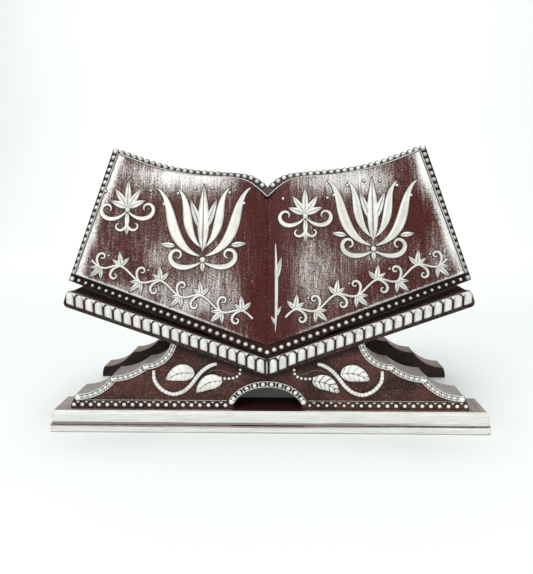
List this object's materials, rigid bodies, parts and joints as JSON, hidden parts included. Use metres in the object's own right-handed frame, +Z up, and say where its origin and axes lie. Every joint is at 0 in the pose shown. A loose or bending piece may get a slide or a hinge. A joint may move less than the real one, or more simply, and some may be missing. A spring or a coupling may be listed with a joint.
{
  "type": "quran stand",
  "caption": "Decorative table stand: an open book with bead rim leaning on V-shaped boards with a gadrooned front rail, scalloped leg panels with an arch, and a plinth bar.",
  "frame": {"origin": "middle of the footprint, on the surface it stands on", "axes": "+Z up, +X to the right seen from the front, front faces -Y"},
  "size_m": [0.226, 0.101, 0.1438],
  "materials": {
    "plinth_silver": "satin silver dry-brushed over dark brown",
    "panel_brown": "satin, fine grain",
    "board_brown": "satin",
    "rail_brown": "satin with rubbed silver edges",
    "cover_brown": "satin with rubbed silver edges",
    "page_face": "satin with silver dry-brush streaks",
    "silver_beads": "satin silver paint",
    "silver_relief": "satin silver paint"
  },
  "bodies": {
    "root": {"arch_beading": "silver_beads", "book_cover": "cover_brown", "front_leg_panel": "panel_brown", "front_plinth": "plinth_silver", "gutter_spray": "silver_relief", "left_base_beads": "silver_beads", "left_book_rest": "board_brown", "left_front_rail": "rail_brown", "left_gadroons": "silver_relief", "left_lower_beads": "silver_beads", "left_lower_leaf": "silver_relief", "left_page_block": "page_face", "left_page_border": "silver_relief", "left_page_frame": "silver_relief", "left_page_motif": "silver_relief", "left_page_spray": "silver_relief", "left_rim_beads": "silver_beads", "left_scallop_beading": "silver_beads", "left_stem": "silver_relief", "left_tendril": "silver_beads", "left_upper_leaf": "silver_relief", "left_wing_board": "board_brown", "rail_centre_bead": "rail_brown", "rear_leg_panel": "panel_brown", "right_base_beads": "silver_beads", "right_book_rest": "board_brown", "right_front_rail": "rail_brown", "right_gadroons": "silver_relief", "right_lower_beads": "silver_beads", "right_lower_leaf": "silver_relief", "right_page_block": "page_face", "right_page_border": "silver_relief", "right_page_frame": "silver_relief", "right_page_motif": "silver_relief", "right_page_spray": "silver_relief", "right_rim_beads": "silver_beads", "right_scallop_beading": "silver_beads", "right_stem": "silver_relief", "right_tendril": "silver_beads", "right_upper_leaf": "silver_relief", "right_wing_board": "board_brown", "spine_bead": "silver_beads"}
  },
  "joints": []
}
